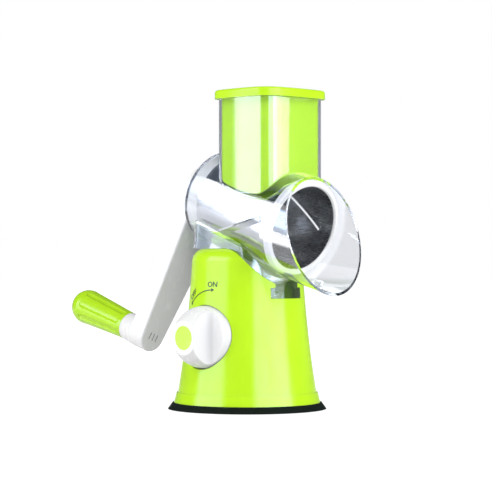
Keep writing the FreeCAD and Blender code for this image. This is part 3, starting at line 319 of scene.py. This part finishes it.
def paint_nodes():
    """Every CAD node gets the material of its slot; the grip has its own, darker lime."""
    lime = moulded("lime_moulding", (0.52, 0.86, 0.018), (0.49, 0.83, 0.014), (0.66, 0.93, 0.20),
                   cast=LIME_CAST)
    grip = moulded("grip_moulding", (0.45, 0.76, 0.016), (0.42, 0.73, 0.013), (0.49, 0.79, 0.04),
                   cast=LIME_CAST)
    white = moulded("white_moulding", (0.83, 0.83, 0.83), (0.80, 0.80, 0.805), (0.9, 0.9, 0.9),
                    rough=(0.2, 0.3), painted_groove_shade=(0.20, 0.20, 0.205))
    acetal = moulded("acetal", (0.80, 0.79, 0.75), (0.76, 0.75, 0.71), (0.86, 0.85, 0.82),
                     rough=(0.3, 0.42))
    chosen = {"green": lime, "white": white, "bush": acetal, "clear": clear_plastic(),
              "drum_steel": polished_sheet(), "steel": machined(), "rubber": soft_rubber()}
    slots = {part["node"]: part["material_slot"] for part in frame["record"]["subparts"]}
    for node, piece in frame["nodes"].items():
        material = grip if node in GRIP_NODES else chosen[slots[node]]
        if not piece.material_slots:
            piece.data.materials.append(material)
        for holder in piece.material_slots:
            holder.material = material
    return chosen


# --------------------------------------------------------------------------
# Mesh helper
# --------------------------------------------------------------------------
def new_piece(name, mesh, material):
    """An object in the scene from a finished bmesh, which is freed."""
    bmesh.ops.recalc_face_normals(mesh, faces=mesh.faces)
    data = bpy.data.meshes.new(name)
    mesh.to_mesh(data)
    mesh.free()
    data.materials.append(material)
    piece = bpy.data.objects.new(name, data)
    bpy.context.scene.collection.objects.link(piece)
    return piece


# --------------------------------------------------------------------------
# Return spring: it stands for the CAD one
# --------------------------------------------------------------------------
COIL_RADIUS, WIRE_RADIUS, COIL_TURNS = 0.009, 0.0007, 5
STEPS_PER_TURN, WIRE_SIDES = 36, 10


def make_spring(steel):
    low, high = (Vector(corner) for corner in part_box("stem_spring"))
    middle = (low + high) / 2
    start, stop = low.z + WIRE_RADIUS, high.z - WIRE_RADIUS
    steps = STEPS_PER_TURN * COIL_TURNS
    mesh = bmesh.new()
    rings = []
    for i in range(steps + 1):
        turn = math.tau * COIL_TURNS * i / steps
        rise = start + (stop - start) * i / steps
        ring = []
        for k in range(WIRE_SIDES):
            side = math.tau * k / WIRE_SIDES
            reach = COIL_RADIUS + WIRE_RADIUS * math.cos(side)
            ring.append(mesh.verts.new((middle.x + reach * math.cos(turn),
                                        middle.y + reach * math.sin(turn),
                                        rise + WIRE_RADIUS * math.sin(side))))
        rings.append(ring)
    for first, second in zip(rings, rings[1:]):
        for k in range(WIRE_SIDES):
            after = (k + 1) % WIRE_SIDES
            mesh.faces.new((first[k], first[after], second[after], second[k]))
    mesh.faces.new(rings[0])
    mesh.faces.new(rings[-1])
    for face in mesh.faces:
        face.smooth = len(face.verts) == 4
    piece = new_piece("return_spring", mesh, steel)
    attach(piece, "base")
    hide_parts("stem_spring")
    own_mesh(piece)


# --------------------------------------------------------------------------
# Printed arrow and words on the base, round the knob
# --------------------------------------------------------------------------
KNOB_HEIGHT = 0.062
PRINT_SHIFT = 0.008    # the print's middle lies this far in front of the knob's
BASE_LOW, BASE_HIGH = (0.0590, 0.014), (0.0465, 0.136)   # (radius, height) of the flank's ends
FLANK_BOW = 1.050      # radius of the flank's arc
INK = 0.00012

ARROW_RADIUS, ARROW_FROM, ARROW_TO = 0.0395, -48.0, 1.5  # degrees from upright
ARROW_STEPS = 28
LINE_HALF = 0.00042
HEAD_TURN, HEAD_HALF = 4.6, 0.0017

WORDS = (("word_on", "ON", -1.5), ("word_off", "OFF", -37.0))
WORD_RADIUS, WORD_SIZE, WORD_SWELL = 0.0421, 0.0062, 0.00010


def base_radius(z):
    """Outside radius of the base's hollow flank at a height."""
    (r0, z0), (r1, z1) = BASE_LOW, BASE_HIGH
    half = math.hypot(r1 - r0, z1 - z0) / 2
    reach = math.sqrt(FLANK_BOW ** 2 - half ** 2)
    across = Vector((z1 - z0, r0 - r1)).normalized()
    centre = Vector(((r0 + r1) / 2, (z0 + z1) / 2)) + across * reach
    return centre.x - math.sqrt(FLANK_BOW ** 2 - (z - centre.y) ** 2)


def on_base(right, up):
    """Point on the base's left side from its place as seen from outside."""
    y, z = -(right + PRINT_SHIFT), KNOB_HEIGHT + up
    return Vector((-math.sqrt((base_radius(z) + INK) ** 2 - y ** 2), y, z))


def round_knob(angle, radius):
    """(right, up) of a point round the knob, its angle in radians from upright."""
    return radius * math.sin(angle), radius * math.cos(angle)


def ink_piece(name, faces, ink):
    """Thin print from flat polygons (right, up), wrapped on the base."""
    mesh = bmesh.new()
    for polygon in faces:
        mesh.faces.new([mesh.verts.new(on_base(*p)) for p in polygon])
    bmesh.ops.remove_doubles(mesh, verts=mesh.verts, dist=1e-6)
    piece = new_piece(name, mesh, ink)
    thick = piece.modifiers.new("thickness", "SOLIDIFY")
    thick.thickness = INK
    thick.offset = 0
    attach(piece, "base")


def make_arrow(ink):
    """Double-headed arrow along an arc above the knob."""
    def at(degrees, across):
        return round_knob(math.radians(degrees), ARROW_RADIUS + across)

    low, high = ARROW_FROM + HEAD_TURN, ARROW_TO - HEAD_TURN
    faces = []
    for i in range(ARROW_STEPS):
        a, b = (low + (high - low) * k / ARROW_STEPS for k in (i, i + 1))
        faces.append([at(a, -LINE_HALF), at(b, -LINE_HALF), at(b, LINE_HALF), at(a, LINE_HALF)])
    for tip, root in ((ARROW_FROM, low), (ARROW_TO, high)):
        faces.append([at(tip, 0), at(root, -HEAD_HALF), at(root, HEAD_HALF)])
    ink_piece("turn_arrow", faces, ink)


def make_word(name, text, degrees, ink):
    """A generic switch word on an arc outside the arrow, upright to it."""
    curve = bpy.data.curves.new(name + "_font", "FONT")
    curve.body = text
    curve.size = WORD_SIZE
    curve.align_x = "CENTER"
    curve.offset = WORD_SWELL
    curve.resolution_u = 3
    holder = bpy.data.objects.new(name + "_font", curve)
    flat = bpy.data.meshes.new_from_object(holder)
    faces = []
    for polygon in flat.polygons:
        corners = (flat.vertices[index].co for index in polygon.vertices)
        faces.append([round_knob(math.radians(degrees) + corner.x / WORD_RADIUS,
                                 WORD_RADIUS + corner.y) for corner in corners])
    ink_piece(name, faces, ink)
    bpy.data.objects.remove(holder)
    bpy.data.curves.remove(curve)
    bpy.data.meshes.remove(flat)


# --------------------------------------------------------------------------
# Floor, backdrop light and lamps
# --------------------------------------------------------------------------
LEFT_CARD, RIGHT_CARD = (158.5, 25.5), (270.0, 32.0)     # (bearing, half width) in degrees
CARD_COLOUR = (0.70, 0.86, 1.12)
WHITE = (1, 1, 1)
FLOOR_SIZE, FLOOR_DROP = 16, 0.0002

# name, bearing in degrees, distance, height, width, tall, watts
LAMPS = (
    ("left_box", 157, 1.2, 0.62, 1.15, 1.2, 11.0),
    ("right_box", 290, 1.2, 0.55, 0.85, 1.05, 11.0),
    ("top_box", 225, 1.5, 1.7, 1.0, 0.8, 10.5),
    ("back_box", 40, 1.6, 1.0, 1.4, 1.0, 8.0))
LAMP_AIM = (0, 0, 0.12)


def card(tree, direction, place, soft=1.5):
    """1 over a card's bearings and 0 elsewhere; soft is its edge in degrees."""
    middle, half = place
    flat = vector(tree, "NORMALIZE", vector(tree, "MULTIPLY", direction, (1, 1, 0)))
    towards = (math.cos(math.radians(middle)), math.sin(math.radians(middle)), 0)
    near = vector(tree, "DOT_PRODUCT", flat, towards, result="Value")
    return spread(tree, near, 0, 1, math.cos(math.radians(half + soft)),
                  math.cos(math.radians(half - soft)))


def make_floor():
    """Pale floor that keeps the object's shadow and fades to the backdrop."""
    material, tree = blank("pale_floor")
    reflected = mirrored(tree)
    place = add(tree, "TexCoord").outputs["Object"]
    away = vector(tree, "LENGTH", place, result="Value")

    tone = cloudy(tree, 90, 3, (0.80, 0.80, 0.80), (0.78, 0.78, 0.785))
    matt = add(tree, "BsdfDiffuse", {"Color": tone})
    bright = calc(tree, "MULTIPLY", card(tree, place, LEFT_CARD),
                  spread(tree, away, 0, 4.0, 0.38, 0.5))
    bright = calc(tree, "MULTIPLY", bright, reflected)
    sweep = add(tree, "Emission", {"Color": (*WHITE, 1), "Strength": bright})
    matt = add(tree, "AddShader", {0: matt.outputs[0], 1: sweep.outputs[0]})

    shown = add(tree, "BsdfDiffuse", {"Color": (0.36, 0.36, 0.36, 1)})
    fade = spread(tree, away, 0.74, 1.0, 0.12, 0.60)
    glow = add(tree, "Emission", {"Color": (*WHITE, 1), "Strength": fade})
    lit = add(tree, "AddShader", {0: shown.outputs[0], 1: glow.outputs[0]})

    path = add(tree, "LightPath").outputs
    eye = calc(tree, "MAXIMUM", path["Is Camera Ray"], path["Is Transmission Ray"])
    eye = calc(tree, "SUBTRACT", eye, reflected, clamp=True)
    finish(tree, add(tree, "MixShader", {0: eye, 1: matt.outputs[0], 2: lit.outputs[0]}))

    bpy.ops.mesh.primitive_plane_add(size=FLOOR_SIZE, location=(0, 0, -FLOOR_DROP))
    floor = bpy.context.object
    floor.name = "floor"
    floor.data.materials.append(material)


def make_world():
    """White to the eye; reflections see two white cards in a dark room."""
    world = bpy.data.worlds.new("studio")
    world.use_nodes = True
    tree = world.node_tree
    tree.nodes.clear()
    bpy.context.scene.world = world
    path = add(tree, "LightPath").outputs
    sight = add(tree, "TexCoord").outputs["Generated"]
    up = add(tree, "SeparateXYZ", {0: sight}).outputs["Z"]

    room = mixed(tree, spread(tree, up, 0, 1, 0.05, 0.25), (0.20, 0.21, 0.22),
                 (0.03, 0.042, 0.06))
    below = spread(tree, up, 1, 0, 0.53, 0.59)
    for place, soft, level in ((LEFT_CARD, 3.0, spread(tree, up, 1.65, 5.0, 0.09, 0.15)),
                               (RIGHT_CARD, 4.0, spread(tree, up, 2.1, 6.5, 0.08, 0.14))):
        shown = calc(tree, "MULTIPLY", card(tree, sight, place, soft), below)
        glow = add(tree, "VectorMath", {0: CARD_COLOUR, "Scale": level},
                   operation="SCALE").outputs[0]
        room = mixed(tree, shown, room, glow)

    through = mixed(tree, spread(tree, up, 0, 1, 0.20, 0.36), WHITE, (0.52, 0.54, 0.57))
    sky = mixed(tree, path["Is Transmission Ray"], (0.42, 0.42, 0.425), through)
    sky = mixed(tree, mirrored(tree), sky, room)
    # What is left of a path that was reflected twice and then came through a clear wall
    caught = calc(tree, "GREATER_THAN", path["Glossy Depth"], 1.5)
    caught = calc(tree, "MULTIPLY", caught, path["Transmission Depth"], clamp=True)
    sky = mixed(tree, caught, sky, (0.62, 0.65, 0.68))
    sky = mixed(tree, path["Is Camera Ray"], sky, WHITE)
    light = add(tree, "Background", {"Color": sky, "Strength": 1.0})
    add(tree, "OutputWorld", {"Surface": light.outputs[0]})


def softbox(name, bearing, distance, height, width, tall, watts):
    """Area lamp standing round the object and turned to it, unseen in reflections."""
    data = bpy.data.lights.new(name, "AREA")
    data.shape = "RECTANGLE"
    data.size, data.size_y = width, tall
    data.energy = watts
    lamp = bpy.data.objects.new(name, data)
    angle = math.radians(bearing)
    lamp.location = (math.cos(angle) * distance, math.sin(angle) * distance, height)
    away = lamp.location - Vector(LAMP_AIM)
    lamp.rotation_euler = away.to_track_quat("Z", "Y").to_euler()
    lamp.visible_camera = False
    lamp.visible_glossy = False
    bpy.context.scene.collection.objects.link(lamp)


# --------------------------------------------------------------------------
# The scene
# --------------------------------------------------------------------------
make_camera()
finishes = paint_nodes()
make_spring(finishes["steel"])
ink = printed_ink()
make_arrow(ink)
for name, text, degrees in WORDS:
    make_word(name, text, degrees, ink)
make_floor()
make_world()
for lamp in LAMPS:
    softbox(*lamp)
bpy.context.scene.view_settings.view_transform = "Standard"
